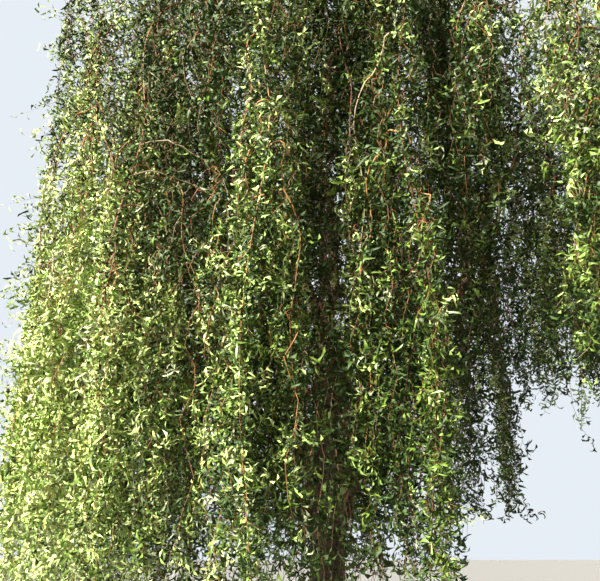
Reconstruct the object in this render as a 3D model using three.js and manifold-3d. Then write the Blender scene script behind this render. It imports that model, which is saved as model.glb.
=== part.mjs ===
// Corkscrew willow tree of the weeping kind, in full leaf: a flared trunk, contorted boughs, and masses of
// curled leaves on twisting twigs that hang as curtains round the open space under the boughs.
// Millimetres, +Z up. The origin is the middle of the flat cut at ground level, and -Y is the front.

import * as THREE from "three";
import { mergeVertices } from "three/addons/utils/BufferGeometryUtils.js";
import Module from "manifold-3d";

const wasm = await Module();
wasm.setup();

const degree = Math.PI / 180;
const up = new THREE.Vector3(0, 0, 1);
const clearance = 0.3; // between solids that meet

// Trunk
const trunkHeight = 2300;
const trunkFootRadius = 218;
const trunkRadius = 128; // just above the root flare
const trunkTopRadius = 106;
const flareHeight = 480;
const flareLobes = 5;
const flareLobeDepth = 0.12; // of the radius at the ground
const trunkLean = new THREE.Vector2(85, 120); // drift of the top from the foot
const trunkSway = 24; // side to side on the way up
const trunkSways = 1.1; // whole sways from foot to top
const trunkSides = 15;
const trunkRings = 12;

// Outer boughs, evenly round the trunk
const boughCount = 8;
const firstBoughAngle = 268 * degree;
const boughRootHeight = 1330; // of the lowest one
const boughRootStep = 88; // between one and the next higher
const boughRankStep = 3; // neighbours round the trunk are this many steps apart in height
const boughTipShare = 0.58; // of the crown's reach
const boughTipHeight = 4960;
const boughTipScatter = 190;
const boughRadius = 52;
const boughTipRadius = 23;
const boughTurns = 3.1;
const boughTwist = 60; // how far the corkscrew swings off the limb's line
const boughThickness = [0.88, 1.12]; // from the thinnest to the thickest bough
const lowHandleOut = [0.36, 0.5]; // of the spread: where the bough's curve heads first
const lowHandleRise = 0.3; // of the rise
const highHandleOut = [0.58, 0.74];
const highHandleRise = [0.68, 0.82];

// Leaders, which rise from the top of the trunk
const leaderCount = 3;
const firstLeaderAngle = 20 * degree;
const leaderSeat = 62; // from the trunk's middle
const leaderSpread = 560;
const leaderTipHeight = 6080;
const leaderRadius = 47;
const leaderDepth = 60; // of their roots below the trunk's top
const leaderTipScatter = 80;

const limbSides = 6;
const limbRings = 14;
const axisSteps = 24; // straight pieces that stand for a limb's or a stem's line
const taperPower = 0.8;
const fullSwingAt = 0.2; // of its length, where a corkscrew reaches its whole swing

// Crown outline
const meanReach = 2520; // from the trunk to the curtains
const reachSwing = 300;
const widestAngle = 30 * degree;
const hemHeight = 1230; // where the curtains end on the left, at the front and at the back
const hemRise = 1560; // more than that on the right
const hemScatter = 190;
const crownHeight = 6930;
const topReach = 985; // of the masses over the leaders
const fallReach = 1260; // of the falls inside the curtains
const curtainStagger = 170; // every second curtain hangs this much further in
const curtainAngle = 9.5 * degree; // to each side of the bough that carries the two
const fallAngle = 34 * degree;
const tipSide = 66 * degree; // round a bough's tip, from straight out to the stem's seat

// Stems, twigs and leaves of the masses
const stemRadius = 9.5;
const stemTipRadius = 4.5;
const stemSeat = 12.5; // from the middle of the bough's tip, so that stems on one tip stay apart
const stemSwing = [34, 52];
const stemRingsPerTurn = 3.2;
const stemScatter = 60; // of the handles of its curve
const twigRadius = 6.5;
const twigTipRadius = 3.5;
const twigSwing = [26, 42];
const twigSpread = [0.55, 1]; // share of the kind's spread, to the side
const twigDepth = [-0.4, 0.5]; // the same, inwards and outwards
const twigHang = [0.7, 0.95]; // share of the way from its root down to the stem's end
const twigArch = 120; // how far it rises before it turns over
const leafLength = 410;
const leafWidthShare = 0.29; // of its length
const leafKeelShare = 0.035;
const leafWidestAt = 0.44;
const leafKeelAt = 0.2;
const leafSizes = [0.8, 1.1];
const leafLean = [28, 58]; // degrees off the twig
const leafDroop = 0.4;
const leafCurls = [-0.34, 0.1]; // of its length. A stronger curl towards its keel would fold it through itself
const leafSink = 0.3; // of the twig's radius past its middle
const firstLeafAt = 0.22; // of the twig's length
const leafTurn = 137.5 * degree; // from one leaf to the next round its twig
const twigRings = 4;
const pitch = 700; // of the twigs' corkscrew
const spaceMargin = 16; // between a mass and the spaces of the others
const limbMargin = 26; // between a mass and the boughs that it passes

const barkMaterial = new THREE.MeshStandardMaterial({ color: 0x6b5a48, roughness: 0.95, metalness: 0 });
const boughMaterial = new THREE.MeshStandardMaterial({ color: 0x7d6242, roughness: 0.9, metalness: 0 });
const leafMaterial = new THREE.MeshStandardMaterial({ color: 0x6f8a3c, roughness: 0.6, metalness: 0 });

// A seeded draw between two values
function seededDraws(seed) {
  let state = (seed * 104729) % 2147483647;
  const draw = (low, high) => {
    state = (state * 16807) % 2147483647;
    return low + ((high - low) * state) / 2147483647;
  };
  draw(0, 1);
  draw(0, 1);
  return draw;
}

function outward(angle) {
  return new THREE.Vector3(Math.cos(angle), Math.sin(angle), 0);
}

function trunkMiddle(height) {
  const share = height / trunkHeight;
  const sway = trunkSway * Math.sin(trunkSways * 2 * Math.PI * share) * Math.min(1, share * 4);
  return new THREE.Vector3(trunkLean.x * share + sway, trunkLean.y * share * share - sway, height);
}

function crownPoint(angle, radius, height) {
  const middle = trunkMiddle(trunkHeight);
  return outward(angle).multiplyScalar(radius).add(new THREE.Vector3(middle.x, middle.y, height));
}

function outFrom(point, angle, out, rise) {
  return point.clone().addScaledVector(outward(angle), out).addScaledVector(up, rise);
}

function crownReach(angle) {
  return meanReach + reachSwing * Math.cos(angle - widestAngle);
}

function curtainHem(angle) {
  return hemHeight + hemRise * Math.max(0, Math.cos(angle));
}

// Solids

function solidOf(geometry) {
  geometry.deleteAttribute("normal");
  geometry.deleteAttribute("uv");
  const merged = mergeVertices(geometry, 1e-3);
  const corners = merged.index.array;
  const kept = [];
  for (let i = 0; i < corners.length; i += 3) {
    const [a, b, c] = corners.slice(i, i + 3);
    if (a !== b && b !== c && c !== a) kept.push(a, b, c);
  }
  const vertProperties = new Float32Array(merged.attributes.position.array);
  return new wasm.Manifold(new wasm.Mesh({ numProp: 3, vertProperties, triVerts: new Uint32Array(kept) }));
}

function largestPart(solid) {
  return solid.decompose().sort((a, b) => b.volume() - a.volume())[0];
}

function meshOf(name, solid, material) {
  const { vertProperties, triVerts } = solid.getMesh();
  const geometry = new THREE.BufferGeometry();
  geometry.setAttribute("position", new THREE.BufferAttribute(new Float32Array(vertProperties), 3));
  geometry.setIndex(new THREE.BufferAttribute(new Uint32Array(triVerts), 1));
  geometry.computeVertexNormals();
  const mesh = new THREE.Mesh(geometry, material);
  mesh.name = name;
  return mesh;
}

function movePoints(geometry, place) {
  const position = geometry.attributes.position;
  const point = new THREE.Vector3();
  for (let i = 0; i < position.count; i += 1) {
    const moved = place(point.fromBufferAttribute(position, i));
    position.setXYZ(i, moved.x, moved.y, moved.z);
  }
  return geometry;
}

// A lathe turned to the radius at each ring, then bent along the path. grow makes it larger all round.
// Each ring lies square to the straight faces before and after it, not to the finer path between them.
function limbSolid(path, radiusAt, sides, rings, grow = 0) {
  const middles = path.getSpacedPoints(rings);
  const line = new THREE.CatmullRomCurve3(middles);
  line.getTangentAt = (share) => line.getTangent(share);
  const frames = line.computeFrenetFrames(rings);
  const profile = [new THREE.Vector2(0, 0)];
  for (let ring = 0; ring <= rings; ring += 1) {
    profile.push(new THREE.Vector2(radiusAt(ring / rings) + grow, ring));
  }
  profile.push(new THREE.Vector2(0, rings));
  const geometry = new THREE.LatheGeometry(profile, sides);
  movePoints(geometry, (point) => {
    const ring = Math.round(point.y);
    const beyond = ring === 0 ? -grow : ring === rings ? grow : 0;
    return middles[ring]
      .clone()
      .addScaledVector(frames.binormals[ring], point.x)
      .addScaledVector(frames.normals[ring], point.z)
      .addScaledVector(frames.tangents[ring], beyond);
  });
  return solidOf(geometry);
}

// The corkscrew: a plain curve, swung round its own line by more and more from its root on
function corkscrew(plain, side, swing, turns, phase, steps) {
  const points = [];
  for (let step = 0; step <= steps; step += 1) {
    const share = step / steps;
    const tangent = plain.getTangent(share);
    const across = new THREE.Vector3().crossVectors(tangent, side).normalize();
    const angle = phase + turns * 2 * Math.PI * share;
    const width = swing * Math.min(1, share / fullSwingAt);
    points.push(
      plain
        .getPoint(share)
        .addScaledVector(side, width * Math.cos(angle))
        .addScaledVector(across, width * Math.sin(angle)),
    );
  }
  return new THREE.CatmullRomCurve3(points);
}

function taper(from, to) {
  return (share) => from + (to - from) * share ** taperPower;
}

// The middle of a bent limb, whose faces run straight from one ring to the next
function middleAt(path, rings, share) {
  const ring = Math.min(rings - 1, Math.floor(share * rings));
  return path.getPointAt(ring / rings).lerp(path.getPointAt((ring + 1) / rings), share * rings - ring);
}

// Trunk

function trunkSolid(grow = 0) {
  const profile = [new THREE.Vector2(0, 0)];
  for (let ring = 0; ring <= trunkRings; ring += 1) {
    const share = (ring / trunkRings) ** 1.5; // rings lie closer in the flare
    const flare = Math.max(0, 1 - (share * trunkHeight) / flareHeight) ** 2;
    const stem = trunkRadius + (trunkTopRadius - trunkRadius) * share;
    const foot = (trunkFootRadius - trunkRadius) * flare;
    profile.push(new THREE.Vector2(stem + foot + grow, share * trunkHeight));
  }
  profile.push(new THREE.Vector2(0, trunkHeight));
  const geometry = new THREE.LatheGeometry(profile, trunkSides).rotateX(Math.PI / 2);
  movePoints(geometry, (point) => {
    const flare = Math.max(0, 1 - point.z / (flareHeight * 1.6));
    const angle = Math.atan2(point.y, point.x);
    const ridges = Math.cos(flareLobes * angle + 0.7) + 0.6 * Math.cos(2 * angle - 1);
    const lobe = 1 + flareLobeDepth * flare * ridges;
    const rise = point.z === trunkHeight ? grow : 0;
    return trunkMiddle(point.z).add(new THREE.Vector3(point.x * lobe, point.y * lobe, rise));
  });
  return solidOf(geometry);
}

// Boughs and leaders. Each is a limb with its path, its angle round the trunk and its solid.

function makeLimb(name, angle, plain, radius, turns, phase) {
  const side = outward(angle + Math.PI / 2);
  const path = corkscrew(plain, side, boughTwist, turns, phase, axisSteps);
  const solid = (grow) => limbSolid(path, taper(radius, boughTipRadius), limbSides, limbRings, grow);
  return { name, angle, path, radius, solid, axis: axisPoints(path, axisSteps) };
}

function outerBough(index) {
  const draw = seededDraws(31 + index);
  const angle = firstBoughAngle + (index * 2 * Math.PI) / boughCount;
  const rootHeight = boughRootHeight + boughRootStep * ((index * boughRankStep) % boughCount);
  const root = trunkMiddle(rootHeight);
  const spread = boughTipShare * crownReach(angle);
  const tip = crownPoint(angle, spread, boughTipHeight + draw(-boughTipScatter, boughTipScatter));
  const rise = tip.z - rootHeight;
  const handles = [
    outFrom(root, angle, draw(...lowHandleOut) * spread, lowHandleRise * rise),
    outFrom(root, angle, draw(...highHandleOut) * spread, draw(...highHandleRise) * rise),
  ];
  const plain = new THREE.CubicBezierCurve3(root, ...handles, tip);
  const radius = boughRadius * draw(...boughThickness);
  return makeLimb(`bough_${index + 1}`, angle, plain, radius, boughTurns, draw(0, 6));
}

function leader(index) {
  const draw = seededDraws(71 + index);
  const angle = firstLeaderAngle + (index * 2 * Math.PI) / leaderCount;
  const rootHeight = trunkHeight - leaderDepth;
  const root = trunkMiddle(rootHeight).addScaledVector(outward(angle), leaderSeat);
  const tip = crownPoint(angle, leaderSpread, leaderTipHeight + draw(-leaderTipScatter, leaderTipScatter));
  const rise = tip.z - rootHeight;
  const handles = [
    outFrom(root, angle, 0.12 * leaderSpread, 0.3 * rise),
    outFrom(root, angle, 0.6 * leaderSpread, 0.65 * rise),
  ];
  const plain = new THREE.CubicBezierCurve3(root, ...handles, tip);
  return makeLimb(`leader_${index + 1}`, angle, plain, leaderRadius, boughTurns, draw(0, 6));
}

// What grows at the limbs' tips. handles: how far out from the tip to the reach, and how far above the
// tip, the three handles of the stem's curve lie. Then the stem's rings, how many twigs it has, where along
// it they leave, how far they spread to both sides and hang, and the leaves on each twig and on the stem.
const kinds = {
  curtain: {
    handles: [[0.42, 690], [1.06, 335], [1, 0]],
    rings: 12,
    twigs: { count: 3, from: 0.22, to: 0.55, spread: 400, leaves: 5 },
    leaves: { count: 7, from: 0.14 },
  },
  shoulder: {
    handles: [[0, 760], [0.19, 1480], [0.71, 820]],
    rings: 6,
    twigs: { count: 3, from: 0.42, to: 0.9, spread: 420, hang: 250, leaves: 3 },
    leaves: { count: 6, from: 0.25 },
  },
  top: {
    handles: [[-0.53, 300], [-0.4, 1240], [1, 600]],
    rings: 6,
    twigs: { count: 4, from: 0.4, to: 0.92, spread: 360, hang: 160, leaves: 3 },
    leaves: { count: 7, from: 0.25 },
  },
  fall: {
    handles: [[0.24, 330], [1.12, 360], [1, -1380]],
    rings: 8,
    twigs: { count: 2, from: 0.35, to: 0.6, spread: 260, hang: 700, leaves: 4 },
    leaves: { count: 6, from: 0.25 },
  },
};

// A stem leaves its limb's tip on its own side, given by how far round it sits from straight out, and follows
// one curve. end is the height where it stops, if the kind doesn't say.
function makeStem(kind, name, limb, seat, angle, reach, draw, end) {
  const { handles, rings } = kinds[kind];
  const tip = limb.path.getPointAt(1);
  const tangent = limb.path.getTangentAt(1);
  const aside = outward(limb.angle + seat);
  aside.addScaledVector(tangent, -aside.dot(tangent)).normalize();
  const start = tip.clone().addScaledVector(aside, stemSeat).addScaledVector(tangent, -stemSeat);
  const tipOut = tip.distanceTo(crownPoint(angle, 0, tip.z));
  const points = handles.map(([share, lift]) =>
    crownPoint(angle, tipOut + share * (reach - tipOut), tip.z + lift + draw(-stemScatter, stemScatter)),
  );
  if (end) points[2].z = end;
  const plain = new THREE.CubicBezierCurve3(start, ...points);
  const turns = rings / stemRingsPerTurn;
  const path = corkscrew(plain, outward(angle + Math.PI / 2), draw(...stemSwing), turns, draw(0, 6), 28);
  return { kind, name, limb, angle, path, rings, draw, axis: axisPoints(path, axisSteps) };
}

function curtainStem(limb, index, hand) {
  const draw = seededDraws(221 + 2 * index + hand);
  const angle = limb.angle + hand * curtainAngle;
  const reach = crownReach(angle) - (hand > 0 ? curtainStagger : 0);
  const hem = curtainHem(angle) + draw(-hemScatter, hemScatter);
  const name = `curtain_${index + 1}${hand < 0 ? "a" : "b"}`;
  return makeStem("curtain", name, limb, hand * tipSide, angle, reach, draw, hem);
}

function shoulderStem(limb, index) {
  const draw = seededDraws(301 + index);
  const reach = crownReach(limb.angle);
  return makeStem("shoulder", `shoulder_${index + 1}`, limb, Math.PI, limb.angle, reach, draw);
}

function topStem(limb, index) {
  const draw = seededDraws(351 + index);
  return makeStem("top", `top_${index + 1}`, limb, Math.PI, limb.angle, topReach, draw);
}

function fallStem(limb, index, hand) {
  const draw = seededDraws(401 + 2 * index + hand);
  const name = `fall_${index + 1}${hand < 0 ? "a" : "b"}`;
  return makeStem("fall", name, limb, hand * tipSide, limb.angle + hand * fallAngle, fallReach, draw);
}

// Spaces. A point belongs to the mass whose stem is nearest, and the space ends short of its neighbours'.

function axisPoints(path, count) {
  return Array.from({ length: count + 1 }, (_, i) => path.getPoint(i / count));
}

function distanceTo(axis, point) {
  const line = new THREE.Line3();
  const nearest = new THREE.Vector3();
  let least = Infinity;
  for (let i = 1; i < axis.length; i += 1) {
    line.set(axis[i - 1], axis[i]);
    line.closestPointToPoint(point, true, nearest);
    least = Math.min(least, nearest.distanceTo(point));
  }
  return least;
}

function keepsToSpace(points, stem, stems, limbs) {
  return points.every((point) => {
    if (point.z > crownHeight + 60 || point.z < hemHeight - 520) return false;
    const own = distanceTo(stem.axis, point);
    const clearOfStems = stems.every(
      (other) => other === stem || distanceTo(other.axis, point) - own > 2 * spaceMargin,
    );
    return clearOfStems && limbs.every((limb) => distanceTo(limb.axis, point) > limb.radius + limbMargin);
  });
}

// Leaves: a three-cornered cone whose point is the root, sunk in the twig. Two corners are the blade's edges,
// the third is its keel, and the middle of the base is drawn out to the curled tip.

function leafShape(root, along, side, length, curl) {
  const face = new THREE.Vector3().crossVectors(along, side).normalize();
  return (corner) => {
    const isKeel = corner.z > 0.9;
    const isEdge = Math.abs(corner.x) > 0.5;
    const share = corner.y > 0 ? 0 : isKeel ? leafKeelAt : isEdge ? leafWidestAt : 1;
    const across = isEdge ? (Math.sign(corner.x) * leafWidthShare) / 2 : 0;
    const keel = isKeel ? leafKeelShare : 0;
    return root
      .clone()
      .addScaledVector(along, share * length)
      .addScaledVector(side, (across + 0.35 * curl * share * share) * length)
      .addScaledVector(face, (keel + curl * (share - share * share)) * length);
  };
}

function leavesAlong(path, rings, count, from, radius, draw, fits) {
  const leaves = [];
  for (let i = 0; i < count; i += 1) {
    const share = from + ((1 - from) * (i + 0.6)) / count;
    const tangent = path.getTangentAt(share);
    const around = i * leafTurn + draw(0, 6.28);
    const across = new THREE.Vector3().crossVectors(tangent, outward(around)).normalize();
    const lean = draw(...leafLean) * degree;
    const along = tangent.clone().multiplyScalar(Math.cos(lean)).addScaledVector(across, Math.sin(lean));
    along.addScaledVector(up, -leafDroop).normalize();
    const side = new THREE.Vector3().crossVectors(along, tangent).normalize();
    side.multiplyScalar(i % 2 === 0 ? 1 : -1); // so that every second leaf curls the other way
    const root = middleAt(path, rings, share).addScaledVector(along, -leafSink * radius);
    const place = leafShape(root, along, side, leafLength * draw(...leafSizes), draw(...leafCurls));
    const solid = solidOf(movePoints(new THREE.ConeGeometry(1, 1, 3), place));
    const tip = place(new THREE.Vector3(0, -0.5, 0));
    const edges = [1, -1].map((hand) => place(new THREE.Vector3(hand, -0.5, 0)));
    const midway = root.clone().lerp(tip, 0.6);
    if (fits([...edges, midway, tip])) leaves.push(solid);
  }
  return leaves;
}

// A twig leaves the stem to one side, turns over and hangs
function twigPath(stem, twigs, index, draw) {
  const share = twigs.from + ((twigs.to - twigs.from) * index) / (twigs.count - 1);
  const start = middleAt(stem.path, stem.rings, share);
  const sideways = (index % 2 === 0 ? 1 : -1) * twigs.spread * draw(...twigSpread);
  const outwards = draw(...twigDepth) * twigs.spread;
  const hang = twigs.hang ?? (start.z - stem.path.getPointAt(1).z) * draw(...twigHang);
  const side = outward(stem.angle + Math.PI / 2);
  const out = outward(stem.angle);
  const point = (away, drop) => {
    const moved = start.clone().addScaledVector(side, away * sideways).addScaledVector(out, away * outwards);
    return moved.addScaledVector(up, -drop);
  };
  const handles = [point(0.75, -twigArch), point(1.15, 0.3 * hang), point(1, hang)];
  const plain = new THREE.CubicBezierCurve3(start, ...handles);
  return corkscrew(plain, out, draw(...twigSwing), hang / pitch, draw(0, 6), 14);
}

function massSolid(stem, stems, limbs) {
  const { twigs, leaves } = kinds[stem.kind];
  const { draw, path, rings } = stem;
  const fits = (points) => keepsToSpace(points, stem, stems, limbs);
  const pieces = [limbSolid(path, taper(stemRadius, stemTipRadius), 3, rings)];
  for (let i = 0; i < twigs.count; i += 1) {
    const twig = twigPath(stem, twigs, i, draw);
    if (fits(axisPoints(twig, 12).slice(2))) {
      pieces.push(limbSolid(twig, taper(twigRadius, twigTipRadius), 3, twigRings));
      pieces.push(...leavesAlong(twig, twigRings, twigs.leaves, firstLeafAt, twigRadius, draw, fits));
    }
  }
  pieces.push(...leavesAlong(path, rings, leaves.count, leaves.from, stemRadius, draw, fits));
  const joined = pieces.reduce((sum, piece) => sum.add(piece)).subtract(stem.limb.solid(clearance));
  return largestPart(joined);
}

// The whole tree

const grownTrunk = trunkSolid(clearance);
const boughs = Array.from({ length: boughCount }, (_, index) => outerBough(index));
const leaders = Array.from({ length: leaderCount }, (_, index) => leader(index));
const limbs = [...boughs, ...leaders];
const stems = [
  ...boughs.flatMap((limb, index) => [curtainStem(limb, index, -1), curtainStem(limb, index, 1)]),
  ...boughs.map((limb, index) => shoulderStem(limb, index)),
  ...leaders.map((limb, index) => topStem(limb, index)),
  ...leaders.flatMap((limb, index) => [fallStem(limb, index, -1), fallStem(limb, index, 1)]),
];

const willow = new THREE.Group();
willow.add(meshOf("trunk", trunkSolid(), barkMaterial));
for (const limb of limbs) {
  willow.add(meshOf(limb.name, largestPart(limb.solid(0).subtract(grownTrunk)), boughMaterial));
}
for (const stem of stems) willow.add(meshOf(stem.name, massSolid(stem, stems, limbs), leafMaterial));

export default willow;
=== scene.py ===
import math
import bpy
import numpy as np
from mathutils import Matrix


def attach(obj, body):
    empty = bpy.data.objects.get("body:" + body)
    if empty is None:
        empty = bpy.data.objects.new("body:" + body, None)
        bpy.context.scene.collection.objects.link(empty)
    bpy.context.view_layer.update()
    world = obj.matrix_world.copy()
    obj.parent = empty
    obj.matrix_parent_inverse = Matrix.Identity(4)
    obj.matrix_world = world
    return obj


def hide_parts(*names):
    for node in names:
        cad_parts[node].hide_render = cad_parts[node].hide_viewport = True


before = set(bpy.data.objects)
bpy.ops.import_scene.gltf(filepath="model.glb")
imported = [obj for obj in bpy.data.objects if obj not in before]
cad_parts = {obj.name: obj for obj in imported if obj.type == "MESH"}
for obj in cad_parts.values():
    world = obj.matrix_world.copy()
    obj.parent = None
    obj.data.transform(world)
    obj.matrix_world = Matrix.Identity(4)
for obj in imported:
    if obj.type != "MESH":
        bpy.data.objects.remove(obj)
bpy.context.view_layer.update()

up = np.array([0.0, 0.0, 1.0])
degree = math.pi / 180
fullTurn = 2 * math.pi

# where the photo was taken from
cameraView = {
    "place": (-0.155, -5.3, 1.55),  # at eye height
    "pitch": 18.4,  # degrees up from level
    "lens": 45.0,
    "sensor": 36.0,  # its width, in millimetres like the lens
    "farthest": 200.0,
}


def addObject(name, data):
    item = bpy.data.objects.new(name, data)
    bpy.context.scene.collection.objects.link(item)
    return item


def makeCamera():
    view = cameraView
    data = bpy.data.cameras.new("photoView")
    data.sensor_fit = "HORIZONTAL"
    data.sensor_width = view["sensor"]
    data.lens = view["lens"]
    data.clip_end = view["farthest"]
    camera = addObject("photoView", data)
    camera.location = view["place"]
    camera.rotation_euler = (math.radians(90 + view["pitch"]), 0, 0)
    bpy.context.scene.camera = camera


makeCamera()

# the same rule as the solids', in metres
trunkShape = {
    "height": 2.3,
    "footRadius": 0.218,
    "radius": 0.128,  # just above the root flare
    "topRadius": 0.106,
    "flareHeight": 0.48,
    "lobes": 5,
    "lobeDepth": 0.12,
    "lean": (0.085, 0.120),
    "sway": 0.024,
    "sways": 1.1,
    "swayStart": 0.25,  # the share of the height over which the sway sets in
}
boughShape = {
    "count": 8,
    "firstAngle": 268 * degree,
    "rootHeight": 1.33,
    "rootStep": 0.088,
    "rankStep": 3,
    "tipShare": 0.58,
    "tipHeight": 4.96,
    "tipScatter": 0.19,
    "radius": 0.052,
    "tipRadius": 0.023,
    "turns": 3.1,
    "twist": 0.060,
    "thickness": (0.88, 1.12),
    "lowOut": (0.36, 0.5),  # shares of the spread and of the rise
    "lowRise": 0.3,
    "highOut": (0.58, 0.74),
    "highRise": (0.68, 0.82),
    "steps": 120,
    "seed": 31,
}
leaderShape = {
    "count": 3,
    "firstAngle": 20 * degree,
    "seat": 0.062,
    "spread": 0.56,
    "tipHeight": 6.08,
    "radius": 0.047,
    "depth": 0.06,
    "tipScatter": 0.08,
    "low": (0.12, 0.3),  # shares of the spread and of the rise
    "high": (0.6, 0.65),
    "seed": 71,
}
crownShape = {
    "reach": 2.52,
    "reachSwing": 0.3,
    "widestAngle": 30 * degree,
    "hem": 1.23,
    "hemRise": 1.56,  # higher on the right
    "hemScatter": 0.19,
    "topReach": 0.985,
    "fallReach": 1.26,
    "stagger": 0.17,
    "curtainAngle": 9.5 * degree,
    "fallAngle": 34 * degree,
    "tipSide": 66 * degree,
}
stemShape = {
    "radius": 0.0125,
    "tipRadius": 0.003,
    "seat": 0.0125,
    "swing": (0.034, 0.052),
    "ringsPerTurn": 3.2,
    "scatter": 0.06,
    "handles": {  # out towards the reach, and above the limb's tip
        "curtain": ((0.42, 0.69), (1.06, 0.335), (1, 0)),
        "shoulder": ((0, 0.76), (0.19, 1.48), (0.71, 0.82)),
        "top": ((-0.53, 0.3), (-0.4, 1.24), (1, 0.6)),
        "fall": ((0.24, 0.33), (1.12, 0.36), (1, -1.38)),
    },
    "rings": {"curtain": 12, "shoulder": 6, "top": 6, "fall": 8},
    "seeds": {"curtain": 221, "shoulder": 301, "top": 351, "fall": 401},
    "steps": 64,
}
swingStart = 0.2  # the share of a path over which its swing sets in
phases = (0, 6)  # radians, for where a swing starts
generator = {"spread": 104729, "factor": 16807, "limit": 2147483647}


# the solids' own random numbers, the same for the same seed
def seededDraws(seed):
    limit = generator["limit"]
    state = (seed * generator["spread"]) % limit

    def draw(low, high):
        nonlocal state
        state = (state * generator["factor"]) % limit
        return low + (high - low) * state / limit

    draw(0, 1)
    draw(0, 1)
    return draw


def unit(vectors):
    return vectors / np.linalg.norm(vectors, axis=-1, keepdims=True)


def outward(angle):
    return np.array([math.cos(angle), math.sin(angle), 0.0])


def trunkMiddle(height):
    share = height / trunkShape["height"]
    sway = trunkShape["sway"] * math.sin(trunkShape["sways"] * fullTurn * share)
    sway *= min(1, share / trunkShape["swayStart"])
    leanX, leanY = trunkShape["lean"]
    return np.array([leanX * share + sway, leanY * share * share - sway, height])


def crownPoint(angle, radius, height):
    middle = trunkMiddle(trunkShape["height"])
    return outward(angle) * radius + np.array([middle[0], middle[1], height])


def crownReach(angle):
    return crownShape["reach"] + crownShape["reachSwing"] * math.cos(angle - crownShape["widestAngle"])


def curtainHem(angle):
    return crownShape["hem"] + crownShape["hemRise"] * max(0.0, math.cos(angle))


def bezier(corners, share):
    a, b, c, d = corners
    t = share[:, None]
    points = a * (1 - t) ** 3 + 3 * b * t * (1 - t) ** 2 + 3 * c * t * t * (1 - t) + d * t**3
    slope = 3 * (b - a) * (1 - t) ** 2 + 6 * (c - b) * t * (1 - t) + 3 * (d - c) * t * t
    return points, slope


# a curve that swings round its own middle
def corkscrew(corners, side, swing, turns, phase, steps):
    share = np.linspace(0, 1, steps + 1)
    plain, slope = bezier(corners, share)
    across = unit(np.cross(slope, side))
    angle = phase + turns * fullTurn * share
    width = swing * np.minimum(1, share / swingStart)
    return plain + side * (width * np.cos(angle))[:, None] + across * (width * np.sin(angle))[:, None]


# the points at the distances along a path, and the directions there
def alongPath(points, distances):
    pieces = np.linalg.norm(np.diff(points, axis=0), axis=1)
    reached = np.concatenate([[0], np.cumsum(pieces)])
    found = np.clip(np.searchsorted(reached, distances, side="right") - 1, 0, len(pieces) - 1)
    share = ((distances - reached[found]) / pieces[found])[:, None]
    here = points[found] * (1 - share) + points[found + 1] * share
    return here, unit(points[found + 1] - points[found])


def pathLength(points):
    return float(np.linalg.norm(np.diff(points, axis=0), axis=1).sum())


def pointAt(path, share):
    return alongPath(path, np.array([share * pathLength(path)]))[0][0]


def outFrom(point, angle, out, rise):
    return point + outward(angle) * out + up * rise


def makeLimb(name, angle, corners, radius, phase):
    shape = boughShape
    side = outward(angle + math.pi / 2)
    path = corkscrew(corners, side, shape["twist"], shape["turns"], phase, shape["steps"])
    return {"name": name, "angle": angle, "path": path, "radius": radius, "side": side}


def outerBough(index):
    shape = boughShape
    draw = seededDraws(shape["seed"] + index)
    angle = shape["firstAngle"] + index * fullTurn / shape["count"]
    rootHeight = shape["rootHeight"] + shape["rootStep"] * ((index * shape["rankStep"]) % shape["count"])
    root = trunkMiddle(rootHeight)
    spread = shape["tipShare"] * crownReach(angle)
    tip = crownPoint(angle, spread, shape["tipHeight"] + draw(-shape["tipScatter"], shape["tipScatter"]))
    rise = tip[2] - rootHeight
    low = outFrom(root, angle, draw(*shape["lowOut"]) * spread, shape["lowRise"] * rise)
    high = outFrom(root, angle, draw(*shape["highOut"]) * spread, draw(*shape["highRise"]) * rise)
    radius = shape["radius"] * draw(*shape["thickness"])
    return makeLimb(f"bough_{index + 1}", angle, (root, low, high, tip), radius, draw(*phases))


def leader(index):
    shape = leaderShape
    draw = seededDraws(shape["seed"] + index)
    angle = shape["firstAngle"] + index * fullTurn / shape["count"]
    rootHeight = trunkShape["height"] - shape["depth"]
    root = trunkMiddle(rootHeight) + outward(angle) * shape["seat"]
    tipHeight = shape["tipHeight"] + draw(-shape["tipScatter"], shape["tipScatter"])
    tip = crownPoint(angle, shape["spread"], tipHeight)
    corners = [root]
    for out, climb in (shape["low"], shape["high"]):
        corners.append(outFrom(root, angle, out * shape["spread"], climb * (tip[2] - rootHeight)))
    return makeLimb(f"leader_{index + 1}", angle, (*corners, tip), shape["radius"], draw(*phases))


# a mass's stem, from beside its limb's tip
def makeStem(kind, name, limb, seat, angle, reach, draw, end=None):
    shape = stemShape
    tip = limb["path"][-1]
    tangent = unit(limb["path"][-1] - limb["path"][-3])
    aside = outward(limb["angle"] + seat)
    aside = unit(aside - tangent * aside.dot(tangent))
    start = tip + aside * shape["seat"] - tangent * shape["seat"]
    tipOut = float(np.linalg.norm(tip - crownPoint(angle, 0, tip[2])))
    corners = [start]
    for share, lift in shape["handles"][kind]:
        height = tip[2] + lift + draw(-shape["scatter"], shape["scatter"])
        corners.append(crownPoint(angle, tipOut + share * (reach - tipOut), height))
    if end is not None:
        corners[3][2] = end
    side = outward(angle + math.pi / 2)
    turns = shape["rings"][kind] / shape["ringsPerTurn"]
    path = corkscrew(corners, side, draw(*shape["swing"]), turns, draw(*phases), shape["steps"])
    return {"kind": kind, "name": name, "angle": angle, "path": path, "side": side}


def curtainStem(limb, index, hand):
    shape = crownShape
    draw = seededDraws(stemShape["seeds"]["curtain"] + 2 * index + hand)
    angle = limb["angle"] + hand * shape["curtainAngle"]
    reach = crownReach(angle) - (shape["stagger"] if hand > 0 else 0)
    hem = curtainHem(angle) + draw(-shape["hemScatter"], shape["hemScatter"])
    name = f"curtain_{index + 1}" + ("a" if hand < 0 else "b")
    return makeStem("curtain", name, limb, hand * shape["tipSide"], angle, reach, draw, hem)


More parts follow.
